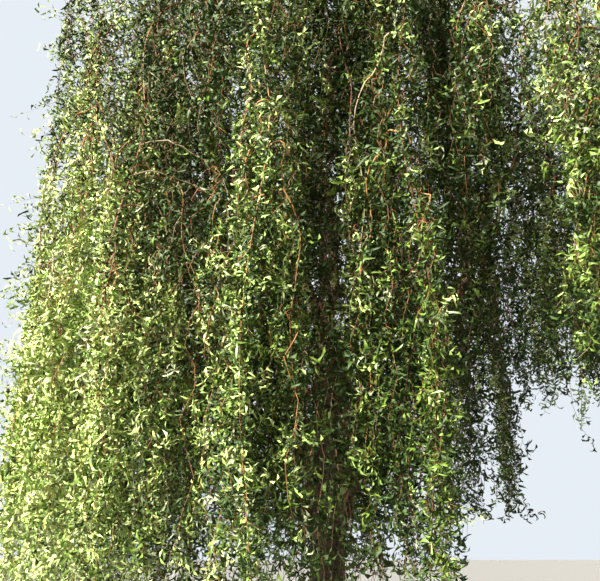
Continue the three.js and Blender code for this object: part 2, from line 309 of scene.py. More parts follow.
def fallStem(limb, index, hand):
    shape = crownShape
    draw = seededDraws(stemShape["seeds"]["fall"] + 2 * index + hand)
    name = f"fall_{index + 1}" + ("a" if hand < 0 else "b")
    angle = limb["angle"] + hand * shape["fallAngle"]
    return makeStem("fall", name, limb, hand * shape["tipSide"], angle, shape["fallReach"], draw)


def archingStem(kind, limb, index, reach):
    draw = seededDraws(stemShape["seeds"][kind] + index)
    return makeStem(kind, f"{kind}_{index + 1}", limb, math.pi, limb["angle"], reach, draw)


def stemPairs(pairStem, bearers):
    return [pairStem(limb, index, hand) for index, limb in enumerate(bearers) for hand in (-1, 1)]


def allStems():
    found = stemPairs(curtainStem, boughs)
    for index, limb in enumerate(boughs):
        found.append(archingStem("shoulder", limb, index, crownReach(limb["angle"])))
    for index, limb in enumerate(leaders):
        found.append(archingStem("top", limb, index, crownShape["topReach"]))
    return found + stemPairs(fallStem, leaders)


boughs = [outerBough(index) for index in range(boughShape["count"])]
leaders = [leader(index) for index in range(leaderShape["count"])]
limbs = boughs + leaders
stems = allStems()
print("limbs and stems worked out:", len(limbs), "limbs,", len(stems), "stems")


# a shader group, with its input and output nodes
def newGroup(name, inputs, outputs):
    group = bpy.data.node_groups.new(name, "ShaderNodeTree")
    for direction, labels in (("INPUT", inputs), ("OUTPUT", outputs)):
        for label in labels:
            kind = "NodeSocketColor" if "Colour" in label else "NodeSocketFloat"
            group.interface.new_socket(name=label, in_out=direction, socket_type=kind)
    return group, group.nodes.new("NodeGroupInput"), group.nodes.new("NodeGroupOutput")


def addNode(tree, kind, **values):
    node = tree.nodes.new(kind)
    for label, value in values.items():
        if hasattr(node, label):
            setattr(node, label, value)
        else:
            node.inputs[label.replace("_", " ")].default_value = value
    return node


# a link where the value comes out of a node, a set value where it is a number
def feed(tree, value, socket):
    if isinstance(value, bpy.types.NodeSocket):
        tree.links.new(value, socket)
    else:
        socket.default_value = value


def multiplied(tree, first, second):
    node = addNode(tree, "ShaderNodeMath", operation="MULTIPLY")
    feed(tree, first, node.inputs[0])
    feed(tree, second, node.inputs[1])
    return node.outputs[0]


def ranged(tree, value, **limits):
    node = addNode(tree, "ShaderNodeMapRange", **limits)
    feed(tree, value, node.inputs["Value"])
    return node.outputs["Result"]


def noise(tree, place, scale, values):
    node = addNode(tree, "ShaderNodeTexNoise", **values)
    feed(tree, place, node.inputs["Vector"])
    feed(tree, scale, node.inputs["Scale"])
    return node.outputs["Fac"]


def colourMix(tree, share, dark, light):
    mix = tree.nodes.new("ShaderNodeMix")
    mix.data_type = "RGBA"
    for number, value in ((0, share), (6, dark), (7, light)):  # the sockets that a colour mix uses
        tree.links.new(value, mix.inputs[number])
    return mix.outputs[2]


barkPattern = {
    "stretch": (1, 1, 0.22),  # drawn out up the tree
    "grain": 34.0,
    "ridges": {"Detail": 5.0, "Roughness": 0.62, "Distortion": 0.9},
    "crackWidth": 0.3,
    "patchScale": 5.0,
    "patches": {"Detail": 6.0, "Roughness": 0.7},
    "patchEdge": (0.52, 0.68),
    "roughness": (0.98, 0.8),  # in the furrows and on the ridges
}


# furrowed bark: ridges that run up the limb, cracks between them, and lichen in broad patches
def barkGroup():
    pattern = barkPattern
    group, given, made = newGroup(
        "barkGrain",
        ["Ridge Colour", "Furrow Colour", "Lichen Colour", "Scale", "Lichen Amount"],
        ["Colour", "Roughness", "Height"],
    )
    link = group.links.new
    place = addNode(group, "ShaderNodeTexCoord").outputs["Object"]
    stretch = addNode(group, "ShaderNodeMapping", Scale=pattern["stretch"])
    link(place, stretch.inputs["Vector"])
    stretched = stretch.outputs["Vector"]
    grain = multiplied(group, given.outputs["Scale"], pattern["grain"])
    ridges = noise(group, stretched, grain, pattern["ridges"])
    cracks = addNode(group, "ShaderNodeTexVoronoi", feature="DISTANCE_TO_EDGE")
    link(stretched, cracks.inputs["Vector"])
    link(grain, cracks.inputs["Scale"])
    beside = ranged(group, cracks.outputs["Distance"], From_Max=pattern["crackWidth"])
    height = multiplied(group, ridges, beside)
    tone = colourMix(group, height, given.outputs["Furrow Colour"], given.outputs["Ridge Colour"])
    edgeLow, edgeHigh = pattern["patchEdge"]
    patches = noise(group, place, pattern["patchScale"], pattern["patches"])
    patches = ranged(group, patches, From_Min=edgeLow, From_Max=edgeHigh)
    lichen = multiplied(group, patches, given.outputs["Lichen Amount"])
    link(colourMix(group, lichen, tone, given.outputs["Lichen Colour"]), made.inputs["Colour"])
    inFurrows, onRidges = pattern["roughness"]
    link(ranged(group, height, To_Min=inFurrows, To_Max=onRidges), made.inputs["Roughness"])
    link(height, made.inputs["Height"])
    return group


growthPattern = {
    "speckle": {"Detail": 1.0, "Roughness": 0.5},
    "edge": (0.35, 0.65),
    "rougher": 0.16,  # how much rougher the other colour is
}


# small differences from leaf to leaf, or along a twig
def growthGroup():
    pattern = growthPattern
    group, given, made = newGroup(
        "growthVariation",
        ["Colour", "Other Colour", "Scale", "Amount", "Least Roughness"],
        ["Colour", "Roughness"],
    )
    link = group.links.new
    place = addNode(group, "ShaderNodeTexCoord").outputs["Object"]
    edgeLow, edgeHigh = pattern["edge"]
    speckle = noise(group, place, given.outputs["Scale"], pattern["speckle"])
    speckle = ranged(group, speckle, From_Min=edgeLow, From_Max=edgeHigh)
    share = multiplied(group, speckle, given.outputs["Amount"])
    mixed = colourMix(group, share, given.outputs["Colour"], given.outputs["Other Colour"])
    link(mixed, made.inputs["Colour"])
    rougher = addNode(group, "ShaderNodeMath", operation="MULTIPLY_ADD")
    link(speckle, rougher.inputs[0])
    rougher.inputs[1].default_value = pattern["rougher"]
    link(given.outputs["Least Roughness"], rougher.inputs[2])
    link(rougher.outputs[0], made.inputs["Roughness"])
    return group


barkGrain = barkGroup()
growthVariation = growthGroup()


def newMaterial(name, group, values, specular):
    material = bpy.data.materials.new(name)
    material.use_nodes = True
    tree = material.node_tree
    shader = tree.nodes["Principled BSDF"]
    shader.inputs["Specular IOR Level"].default_value = specular
    effect = tree.nodes.new("ShaderNodeGroup")
    effect.node_tree = group
    for label, value in values.items():
        effect.inputs[label].default_value = value
    for label, socket in (("Colour", "Base Color"), ("Roughness", "Roughness")):
        tree.links.new(effect.outputs[label], shader.inputs[socket])
    return material, effect, shader


# the ridges', furrows' and lichen's colours, how fine the pattern is, how much lichen, and the relief's depth
barkTones = {
    "trunkBark": ((0.135, 0.10, 0.072), (0.03, 0.022, 0.017), (0.24, 0.25, 0.18), 1.0, 0.35, 0.006),
    "boughBark": ((0.20, 0.125, 0.065), (0.05, 0.03, 0.017), (0.24, 0.25, 0.16), 1.9, 0.22, 0.003),
}
barkFinish = {"specular": 0.25, "bumpStrength": 0.9}


def barkMaterial(name):
    ridge, furrow, lichen, scale, amount, depth = barkTones[name]
    values = {
        "Ridge Colour": (*ridge, 1),
        "Furrow Colour": (*furrow, 1),
        "Lichen Colour": (*lichen, 1),
        "Scale": scale,
        "Lichen Amount": amount,
    }
    material, effect, shader = newMaterial(name, barkGrain, values, barkFinish["specular"])
    bump = material.node_tree.nodes.new("ShaderNodeBump")
    bump.inputs["Distance"].default_value = depth
    bump.inputs["Strength"].default_value = barkFinish["bumpStrength"]
    material.node_tree.links.new(effect.outputs["Height"], bump.inputs["Height"])
    material.node_tree.links.new(bump.outputs["Normal"], shader.inputs["Normal"])
    return material


trunkBark, boughBark = (barkMaterial(name) for name in barkTones)
# the tones that are dealt out by spray, the sunlit one a painted sunlight and the deep one a painted shade:
# the colour, the other colour and the least roughness
leafTones = {
    "leafSunlit": ((0.385, 0.50, 0.140), (0.485, 0.57, 0.23), 0.40),
    "leafFresh": ((0.230, 0.358, 0.080), (0.302, 0.412, 0.112), 0.38),
    "leafGreen": ((0.084, 0.145, 0.017), (0.121, 0.180, 0.025), 0.38),
    "leafShadeDeep": ((0.020, 0.046, 0.005), (0.036, 0.067, 0.008), 0.55),
    "leafUnderside": ((0.22, 0.265, 0.135), (0.28, 0.32, 0.18), 0.52),
}
twigTones = {
    "twigOrange": ((0.20, 0.085, 0.024), (0.29, 0.145, 0.05), 0.45),
    "twigRed": ((0.125, 0.043, 0.019), (0.20, 0.080, 0.030), 0.5),
    "twigTan": ((0.20, 0.14, 0.075), (0.29, 0.215, 0.125), 0.55),
    "twigDark": ((0.062, 0.022, 0.012), (0.105, 0.038, 0.018), 0.6),
}
leafFinish = {"Scale": 17.0, "Amount": 0.8, "specular": 0.3}
twigFinish = {"Scale": 9.0, "Amount": 0.9, "specular": 0.25}


def growthMaterials(tones, finish):
    found = []
    for name, (colour, other, roughness) in tones.items():
        values = {
            "Colour": (*colour, 1),
            "Other Colour": (*other, 1),
            "Scale": finish["Scale"],
            "Amount": finish["Amount"],
            "Least Roughness": roughness,
        }
        found.append(newMaterial(name, growthVariation, values, finish["specular"])[0])
    return found


leafMaterials = growthMaterials(leafTones, leafFinish)
twigMaterials = growthMaterials(twigTones, twigFinish)
print("materials made")


# a visible piece from arrays: points, the corners of all faces in a row, and each face's count and material
def newPiece(name, points, corners, sizes, tones, materials, slotName, nodes):
    mesh = bpy.data.meshes.new(name)
    mesh.vertices.add(len(points))
    mesh.vertices.foreach_set("co", np.ascontiguousarray(points, np.float32).ravel())
    mesh.loops.add(len(corners))
    mesh.loops.foreach_set("vertex_index", np.ascontiguousarray(corners, np.int32))
    mesh.polygons.add(len(sizes))
    starts = np.concatenate([[0], np.cumsum(sizes)[:-1]])
    mesh.polygons.foreach_set("loop_start", np.ascontiguousarray(starts, np.int32))
    mesh.polygons.foreach_set("material_index", np.ascontiguousarray(tones, np.int32))
    mesh.polygons.foreach_set("use_smooth", np.ones(len(sizes), bool))
    mesh.update(calc_edges=True)
    for material in materials:
        mesh.materials.append(material)
    piece = addObject(name, mesh)
    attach(piece, "root")
    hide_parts(*nodes)
    triangles = int((sizes - 2).sum())
    print(f"  {name}: {triangles} triangles")
    return triangles


# the directions of each ring's points, square to the path, from a reference that no path runs along
def ringDirections(path, reference, sides):
    turn = np.arange(sides) * fullTurn / sides
    tangent = unit(np.gradient(path, axis=0))
    across = unit(reference - tangent * (tangent @ reference)[:, None])
    other = np.cross(tangent, across)
    return across[:, None] * np.cos(turn)[None, :, None] + other[:, None] * np.sin(turn)[None, :, None]


# the faces from ring to ring, and one over each end
def ringFaces(rings, sides, first=0):
    here = first + np.arange(rings - 1)[:, None] * sides + np.arange(sides)[None]
    beside = first + np.arange(rings - 1)[:, None] * sides + (np.arange(sides)[None] + 1) % sides
    quads = np.stack([here, beside, beside + sides, here + sides], axis=-1).reshape(-1)
    lastRing = first + (rings - 1) * sides
    corners = np.concatenate([quads, first + np.arange(sides)[::-1], lastRing + np.arange(sides)])
    return corners, np.concatenate([np.full((rings - 1) * sides, 4), np.full(2, sides)])


def tubeArrays(tubes, sides, tones):
    points, corners, sizes, faceTones, first = [], [], [], [], 0
    for tube, tone in zip(tubes, tones):
        path = tube["path"]
        ring = ringDirections(path, tube["reference"], sides)
        points.append((path[:, None] + ring * tube["radius"][:, None, None]).reshape(-1, 3))
        tubeCorners, tubeSizes = ringFaces(len(path), sides, first)
        corners.append(tubeCorners)
        sizes.append(tubeSizes)
        faceTones.append(np.full(len(tubeSizes), tone))
        first += len(path) * sides
    return [np.concatenate(part) for part in (points, corners, sizes, faceTones)]


spurSides = 3
askew = np.array([0.31, 0.27, 0.91])  # a direction that no spur runs along


# spurs: closed three-sided points
def spurArrays(roots, tips, radius, tones):
    along = unit(tips - roots)
    across = unit(np.cross(along, askew))
    other = np.cross(along, across)
    corners = []
    for step in range(spurSides):
        angle = step * fullTurn / spurSides
        corners.append(roots + (across * math.cos(angle) + other * math.sin(angle)) * radius)
    points = np.stack([*corners, tips], axis=1).reshape(-1, 3)
    pattern = np.array([0, 1, 3, 1, 2, 3, 2, 0, 3, 0, 2, 1])
    faces = (np.arange(len(roots))[:, None] * 4 + pattern[None]).reshape(-1)
    return points, faces, np.full(4 * len(roots), 3), np.repeat(tones, 4)


def joined(first, second):
    shifted = (second[0], second[1] + len(first[0]), *second[2:])
    return [np.concatenate(pair) for pair in zip(first, shifted)]


leafShape = {
    "stations": (0.0, 0.26, 0.52, 0.78, 1.0),
    "offsets": (0.0, 0.9, -1.0, 0.75, 0.0),  # to one side or the other, of the half width
}


# one curled and twisted blade of three faces per row
def leafArrays(leaves):
    root, along, side = leaves["root"], leaves["along"], leaves["side"]
    length, width, curl = (leaves[key][:, None] for key in ("length", "width", "curl"))
    twist, bend = leaves["twist"][:, None], leaves["bend"][:, None]
    aim = np.cross(along, side) * np.cos(bend) + side * np.sin(bend)
    rows = []
    for station, offset in zip(leafShape["stations"], leafShape["offsets"]):
        turned = curl * station
        point = root + (along * np.sin(turned) + aim * (1 - np.cos(turned))) * length / curl
        if offset:
            heading = along * np.cos(turned) + aim * np.sin(turned)
            edge = unit(side - heading * (heading * side).sum(axis=1, keepdims=True))
            edge = edge * np.cos(twist * station) + np.cross(heading, edge) * np.sin(twist * station)
            point = point + edge * (width * offset / 2)
        rows.append(point)
    points = np.stack(rows, axis=1).reshape(-1, 3)
    pattern = np.array([0, 1, 2, 1, 3, 2, 2, 3, 4])
    corners = (np.arange(len(root))[:, None] * 5 + pattern[None]).reshape(-1)
    return points, corners, np.full(3 * len(root), 3), np.repeat(leaves["tone"], 3)


barkRelief = {
    "rings": 150,
    "bunching": 1.15,  # rings stand closer at the foot
    "sides": 84,
    "depth": 0.0125,  # of the furrows at the foot
    "topDepth": 0.007,
    "ridges": 15,  # round the trunk
    "lobeReach": 1.6,  # how far up the lobes go, in heights of the flare
    "lobePhase": 0.7,
    "broadLobes": (0.6, 2, -1),  # amount, number and phase of the second lobes
    "crown": 0.035,  # height of the rounded top
    "crownSteps": (0.35, 0.7, 0.93),
}
# the waves that make the furrows: amount, along the limb, round it, phase
furrows = {
    "wander": ((1.5, 5.1, 2, 0), (1.1, 11.3, -3, 1.7), (0.7, 23.0, 5, 0.6)),
    "crossWander": 1.3,
    "crossSwing": (2.4, 3.7, 0, 0),
    "plateSwing": (3.1, 2.0, 4, 0),
    "plates": (19.0, 1.3),  # along and round
    "fine": (0.12, 61, 9, 0),
    "fineAcross": (1, 31, 47, 0),
    "ridge": (0.62, 0.55),  # amount and power
    "crossing": (0.30, 0.7),
    "plateAmount": 0.16,
    "middle": 0.6,  # taken off, so that the relief lies about the true surface
}


def wave(angle, height, amount, along, about, phase):
    return amount * np.sin(along * height + about * angle + phase)


def reliefAt(angle, height, ridges):
    rule = furrows
    wander = sum(wave(angle, height, *values) for values in rule["wander"])
    ridge = np.abs(np.sin(0.5 * (ridges * angle + wander)))
    swing = wave(angle, height, *rule["crossSwing"])
    crossing = np.abs(np.sin(0.5 * (ridges * angle - rule["crossWander"] * wander + swing)))
    along, about = rule["plates"]
    plates = 0.5 + 0.5 * np.sin(along * height + wave(angle, height, *rule["plateSwing"]) + about * angle)
    fine = wave(angle, height, *rule["fine"]) * wave(angle, height, *rule["fineAcross"])
    ridgeAmount, ridgePower = rule["ridge"]
    crossAmount, crossPower = rule["crossing"]
    relief = ridgeAmount * ridge**ridgePower + crossAmount * crossing**crossPower
    return relief + rule["plateAmount"] * plates + fine - rule["middle"]


def makeTrunk():
    shape, relief = trunkShape, barkRelief
    share = np.linspace(0, 1, relief["rings"]) ** relief["bunching"]
    heights = share * shape["height"]
    angles = np.arange(relief["sides"]) * fullTurn / relief["sides"]
    flare = np.maximum(0, 1 - heights / shape["flareHeight"]) ** 2
    stem = shape["radius"] + (shape["topRadius"] - shape["radius"]) * share
    radius = (stem + (shape["footRadius"] - shape["radius"]) * flare)[:, None]
    spread = np.maximum(0, 1 - heights / (shape["flareHeight"] * relief["lobeReach"]))[:, None]
    amount, count, phase = relief["broadLobes"]
    lobes = np.cos(shape["lobes"] * angles + relief["lobePhase"]) + amount * np.cos(count * angles + phase)
    depth = relief["depth"] + (relief["topDepth"] - relief["depth"]) * share[:, None]
    bumps = depth * reliefAt(angles[None], heights[:, None], relief["ridges"])
    radius = radius * (1 + shape["lobeDepth"] * spread * lobes[None]) + bumps
    middles = np.array([trunkMiddle(height) for height in heights])
    level = np.broadcast_to(heights[:, None], radius.shape)
    points = [radius * np.cos(angles) + middles[:, 0:1], radius * np.sin(angles) + middles[:, 1:2], level]
    points = np.stack(points, axis=-1)
    closing = []  # rings that round the top off
    for step in relief["crownSteps"]:
        ring = points[-1].copy()
        ring[:, :2] = middles[-1, :2] + (ring[:, :2] - middles[-1, :2]) * math.cos(step * math.pi / 2)
        ring[:, 2] += relief["crown"] * math.sin(step * math.pi / 2)
        closing.append(ring)
    points = np.concatenate([points, np.array(closing)])
    corners, sizes = ringFaces(*points.shape[:2])
    tones = np.zeros(len(sizes))
    return newPiece("trunkBark", points.reshape(-1, 3), corners, sizes, tones, [trunkBark], "bark", ["trunk"])


limbRelief = {
    "sides": 14,
    "spacing": 0.04,  # between rings
    "depth": 0.0032,
    "radius": 0.05,  # the limb's radius at which the relief has that depth
    "ridges": 7,
    "ridgeStep": 0.9,  # how far the ridges are turned from one limb to the next
    "ridgeRate": 2.2,  # how much faster the pattern runs than on the trunk
    "collar": 0.55,  # how much the root swells
    "collarLength": 0.13,
    "taperPower": 0.8,
    "tipShare": 0.72,  # of the solids' tip radius
    "endShare": 0.5,
    "knots": 9,
    "knotPlaces": (0.1, 0.95),
    "knotGirth": (0.08, 0.2),
    "knotLength": 0.035,
    "seed": 511,
}


# a bough with a swollen collar, shallow ridges and knots where twigs once left it
def makeBough(limb, index):
    relief = limbRelief
    length = pathLength(limb["path"])
    distances = np.linspace(0, length, int(length / relief["spacing"]))
    path = alongPath(limb["path"], distances)[0]
    share = distances / length
    tipRadius = boughShape["tipRadius"] * relief["tipShare"]
    radius = limb["radius"] + (tipRadius - limb["radius"]) * share ** relief["taperPower"]
    radius = radius * (1 + relief["collar"] * np.exp(-distances / relief["collarLength"]))
    draw = seededDraws(relief["seed"] + index)
    for _ in range(relief["knots"]):
        place, girth = draw(*relief["knotPlaces"]), draw(*relief["knotGirth"])
        radius = radius * (1 + girth * np.exp(-(((share - place) * length / relief["knotLength"]) ** 2)))
    radius[-1] *= relief["endShare"]
    sides = relief["sides"]
    angles = np.arange(sides) * fullTurn / sides + relief["ridgeStep"] * index
    heights = distances[:, None] * relief["ridgeRate"]
    bumps = relief["depth"] * reliefAt(angles[None], heights, relief["ridges"])
    radius = radius[:, None] + bumps * (radius[:, None] / relief["radius"])
    points = path[:, None] + ringDirections(path, limb["side"], sides) * radius[..., None]
    corners, sizes = ringFaces(len(path), sides)
    name = limb["name"].replace("bough_", "boughBark").replace("leader_", "leaderBark")
    nodes, tones = [limb["name"]], np.zeros(len(sizes))
    return newPiece(name, points.reshape(-1, 3), corners, sizes, tones, [boughBark], "bough_bark", nodes)


total = makeTrunk()
for index, limb in enumerate(limbs):
    total += makeBough(limb, index)
print("trunk and boughs made:", total, "triangles")

# What grows on each kind of stem. Branches leave it between two shares of its length, spread about a shift
# to one side and inwards or outwards, and carry the hanging strands. A strand ends near the hem, or after its
# drop. The folds follow each other down the stem: shift, spread, and how far above the hem their strands end.
# A strand ends up to the offset aside of its root. A leaf's width is a share of its length.
growth = {
    "curtain": {
        "branches": 8,
        "from": 0.08,
        "to": 0.66,
        "folds": [(0.0, 0.55, 1.1), (0.0, 0.42, 0.0), (0.0, 0.40, 0.0), (0.0, 0.42, 0.0)],
        "depth": (-0.36, 0.06),
        "strands": 7,
        "drop": None,
        "hem": (-0.16, 0.62),
        "leafSpacing": 0.021,
        "leafWidth": (0.145, 0.20),
        "spurSpacing": 0.17,
    },
    "shoulder": {
        "branches": 9,
        "from": 0.14,
        "to": 0.98,
        "folds": [(0.0, 0.78, 0.0)],
        "depth": (-0.34, 0.28),
        "strands": 5,
        "drop": (0.45, 1.35),
        "slump": 0.35,
        "leafSpacing": 0.024,
        "leafWidth": (0.15, 0.21),
        "spurSpacing": 0.22,
    },
    "top": {
        "branches": 13,
        "from": 0.16,
        "to": 0.98,
        "folds": [(0.0, 0.72, 0.0), (0.0, 1.0, 0.0)],
        "depth": (-0.3, 0.7),
        "strands": 6,
        "offset": 0.12,
        "drop": (0.35, 1.1),
        "slump": 0.9,
        "leafSpacing": 0.024,
        "leafWidth": (0.15, 0.21),
        "spurSpacing": 0.21,
    },
    "fall": {
        "branches": 4,
        "from": 0.2,
        "to": 0.8,
        "folds": [(0.0, 0.34, 0.0)],
        "depth": (-0.25, 0.25),
        "strands": 4,
        "drop": (0.7, 1.7),
        "slump": 0.3,
        "leafSpacing": 0.045,
        "leafWidth": (0.19, 0.26),
        "spurSpacing": 0.3,
    },
    "limb": {
        "branches": 4,
        "from": 0.46,
        "to": 0.98,
        "folds": [(0.0, 0.40, 0.0)],
        "depth": (-0.15, 0.40),
        "strands": 3,
        "offset": 0.12,
        "drop": (0.8, 2.2),
        "leafSpacing": 0.065,
        "leafWidth": (0.19, 0.26),
        "spurSpacing": 0.4,
    },
}
everyGrowth = {
    "offset": 0.095,
    "slump": 0.0,  # how much further the wider branches hang
    "spurLength": (0.05, 0.16),
    "shade": 0.0,  # how far the tones go towards the inner ones, which are painted shade
}
# where single stems and limbs differ, so that the folds and openings lie where the photo shows them
nearLeaves = {"leafSpacing": 0.0145, "leafWidth": (0.105, 0.145), "spurSpacing": 0.14}
sideLeaves = {"leafSpacing": 0.024, "leafWidth": (0.19, 0.25)}
# the far curtains' leaves carry painted shade, half way towards the inner tones
farLeaves = {"leafSpacing": 0.028, "leafWidth": (0.195, 0.26), "spurSpacing": 0.24, "shade": 0.5}
looseSpurs = {"spurLength": (0.08, 0.32)}
stemTweaks = {
    "curtain_1a": {
        "branches": 10,
        "folds": [(0.06, 0.34, 2.1), (-0.04, 0.20, 1.0), (-0.04, 0.17, 0.0)]
        + [(-0.04, 0.17, 0.0), (-0.03, 0.15, 0.0)],
        "offset": 0.07,
        **nearLeaves,
    },
    "curtain_1b": {
        "branches": 12,
        "folds": [(0.12, 0.42, 1.9), (0.42, 0.24, 1.6), (-0.1, 0.22, 0.5)]
        + [(-0.13, 0.18, 0.0), (-0.12, 0.18, 0.0), (0.13, 0.15, 0.0)],
        "offset": 0.07,
        **nearLeaves,
    },
    "curtain_2a": {
        "branches": 10,
        "from": 0.16,
        "to": 0.74,
        "folds": [(-0.3, 0.26, 0.7), (0.15, 0.36, 0.0)],
        "hem": (0.2, 1.2),
    },
    "curtain_2b": {"from": 0.28, "to": 0.72, **looseSpurs},
    "curtain_3a": {**sideLeaves, **looseSpurs},
    "curtain_3b": {"branches": 11, "folds": [(-0.1, 0.52, 0.0)], **sideLeaves},
    "curtain_4a": {"branches": 12, "folds": [(-0.1, 0.52, 0.0)], "hem": (0.15, 1.0), **sideLeaves},
    "curtain_4b": {"hem": (-0.35, 0.5), **farLeaves},
    "curtain_5a": farLeaves,
    "curtain_5b": farLeaves,
    "curtain_6a": farLeaves,
    "curtain_6b": farLeaves,
    "curtain_7a": looseSpurs,
    "curtain_7b": {"branches": 10, "from": 0.02, "depth": (-0.32, 0.12), **looseSpurs},
    "curtain_8a": {"branches": 12, "from": 0.0, "depth": (-0.30, 0.16), **looseSpurs},
    "curtain_8b": {
        "branches": 12,
        "from": 0.3,
        "to": 0.7,
        "folds": [(-0.2, 0.26, 0.0), (0.32, 0.24, 0.0), (-0.05, 0.26, 0.0)],
        "leafWidth": (0.12, 0.16),
    },
    "shoulder_1": {
        "branches": 12,
        "folds": [(0.0, 0.22, 0.0), (0.0, 0.7, 0.0)],
        "depth": (-0.1, 0.5),
        "drop": (0.9, 2.1),
    },
    "shoulder_2": {"drop": (0.3, 0.6), **looseSpurs},
    "shoulder_3": {"drop": (0.3, 0.8), **looseSpurs},
    "shoulder_7": {"branches": 12, "depth": (-0.1, 0.8), "drop": (0.6, 1.7), **looseSpurs},
    "shoulder_8": {
        "branches": 10,
        "strands": 6,
        "depth": (-0.2, 0.5),
        "drop": (0.7, 1.9),
        # its leaves are painted most of the way into shade
        "shade": 0.7,
        **looseSpurs,
    },
    "bough_1": {
        "branches": 8,
        "strands": 8,
        "folds": [(0.0, 0.24, 0.0)],
        "depth": (0.1, 0.8),
        "drop": (1.4, 3.3),
        "leafSpacing": 0.085,
    },
    "bough_2": {
        "branches": 8,
        "strands": 6,
        "folds": [(-0.3, 0.34, 0.0)],
        "depth": (0.1, 0.75),
        "drop": (0.5, 1.6),
        "leafSpacing": 0.03,
    },
    "bough_3": {"branches": 7, "strands": 5, "depth": (-0.3, 0.4), "drop": (0.7, 1.7), "leafSpacing": 0.11},
    "bough_4": {"branches": 6, "strands": 5, "depth": (-0.5, 0.3), "drop": (0.7, 1.8), "leafSpacing": 0.04},
    "bough_7": {
        "branches": 8,
        "strands": 5,
        "folds": [(0.15, 0.5, 0.0)],
        "depth": (-0.3, 0.4),
        "drop": (0.8, 2.2),
        "leafSpacing": 0.042,
    },
    "bough_8": {"branches": 9, "strands": 6, "depth": (0.0, 0.5), "leafSpacing": 0.034},
    "fall_1a": {"branches": 6, "folds": [(0.0, 0.5, 0.0)], "leafSpacing": 0.03},
    "fall_3b": {"branches": 6, "folds": [(0.0, 0.5, 0.0)], "leafSpacing": 0.03},
}
# paths that arch out and hang
hangRule = {
    "spacing": 0.088,  # between the rings of a twig
    "fewest": 4,  # steps
    "kink": 0.006,
    "highOut": 0.75,  # how far out a path is where it arches, and then where it turns down
    "lowOut": 1.15,
    "lowDrop": 0.3,
    "within": 0.1,  # how far inside the masses' reach a path may hang as it is
    "pull": 0.7,  # how much of what hangs further out is drawn in
    "sides": 3,
}
branchRule = {
    "reach": (0.15, 1.0),  # of its fold's spread
    "hang": (0.35, 0.8),  # of the way down to the hem
    "dropShare": 0.6,  # of a strand's drop
    "arch": (0.06, 0.16),
    "swing": (0.02, 0.04),
    "pitch": (0.45, 0.7),  # how far down one turn of the swing goes
    "radius": (0.0062, 0.0022),  # at its root and tip
    "strandPlaces": (0.12, 0.97),
}
strandRule = {
    "arch": (0.02, 0.07),
    "swing": (0.018, 0.042),
    "pitch": (0.25, 0.41),
    "radius": (0.0026, 0.0036),
    "tipRadius": 0.0011,
    "shortest": 0.35,
    "lowest": 1.25,  # above the ground
}
sprayRule = {
    "leafPlaces": (0.09, 1.0, 0.999),  # from, to and at the furthest, as shares of the path
    "leafShift": (-0.3, 0.3),  # of the spacing
    "bundle": 9,  # leaves that share a tone
    "bundleChange": 0.45,  # how often a bundle has a tone of its own
    "lean": (30, 105),  # degrees away from the twig
    "droop": 0.22,
    "turn": 137.5 * degree,  # round the twig, from leaf to leaf
    "turnShift": 0.5,
    "roll": 1.2,
    "length": (0.062, 0.100),
    "curl": (1.4, 4.5),  # radians from root to tip
    "bend": 1.2,  # how far the curl may turn sideways
    "twist": 1.8,
    "spurPlaces": (0.12, 0.97, 0.995),
    "spurShift": (0, 0.8),
    "spurTurn": (0, 6.28),
    "spurLean": (28, 75),
    "spurLeaves": 7,
    "spurLeafPlaces": (0.3, 1.0),
    "spurRadius": 0.0014,
}
nearlyNothing = 1e-6
groups = {
    "Front": ["curtain_8b", "curtain_1a", "curtain_1b", "curtain_2a"],
    "Right": ["curtain_2b", "curtain_3a", "curtain_3b", "curtain_4a"],
    "Back": ["curtain_4b", "curtain_5a", "curtain_5b", "curtain_6a"],
    "Left": ["curtain_6b", "curtain_7a", "curtain_7b", "curtain_8a"],
    "Shoulders": [f"shoulder_{index + 1}" for index in range(boughShape["count"])],
    "Top": [f"top_{index + 1}" for index in range(leaderShape["count"])],
    "Inner": [f"fall_{index + 1}{hand}" for index in range(leaderShape["count"]) for hand in "ab"],
}


# draws in what hangs further out than the masses
def heldIn(path):
    axis = trunkMiddle(trunkShape["height"])[:2]
    away = path[:, :2] - axis
    out = np.hypot(away[:, 0], away[:, 1])
    turn = np.arctan2(away[:, 1], away[:, 0]) - crownShape["widestAngle"]
    limit = crownShape["reach"] - hangRule["within"] + crownShape["reachSwing"] * np.cos(turn)
    kept = (out - hangRule["pull"] * np.maximum(0, out - limit)) / np.maximum(out, nearlyNothing)
    path[:, :2] = axis + away * kept[:, None]
    return path


def hangingPath(start, angle, sideways, outwards, hang, rule, chance):
    arch, swing, pitch = (chance.uniform(*rule[key]) for key in ("arch", "swing", "pitch"))
    phase = chance.uniform(*phases)
    side, out = outward(angle + math.pi / 2), outward(angle)

    def point(away, drop):
        return start + side * (away * sideways) + out * (away * outwards) - up * drop

    high = point(hangRule["highOut"], -arch)
    low = point(hangRule["lowOut"], hangRule["lowDrop"] * hang)
    length = hang + 2 * arch + math.hypot(sideways, outwards)
    steps = max(hangRule["fewest"], int(length / hangRule["spacing"]))
    reference = np.cross(side * sideways + out * outwards, up)
    size = np.linalg.norm(reference)
    reference = reference / size if size > nearlyNothing else side
    path = corkscrew((start, high, low, point(1, hang)), reference, swing, hang / pitch, phase, steps)
    path[1:] += chance.uniform(-hangRule["kink"], hangRule["kink"], (steps, 3))
    return heldIn(path), reference


# across the path, towards a direction round the upright
def acrossPath(tangents, around):
    facing = np.stack([np.cos(around), np.sin(around), np.zeros(len(around))], axis=1)
    return unit(np.cross(tangents, facing) + nearlyNothing)


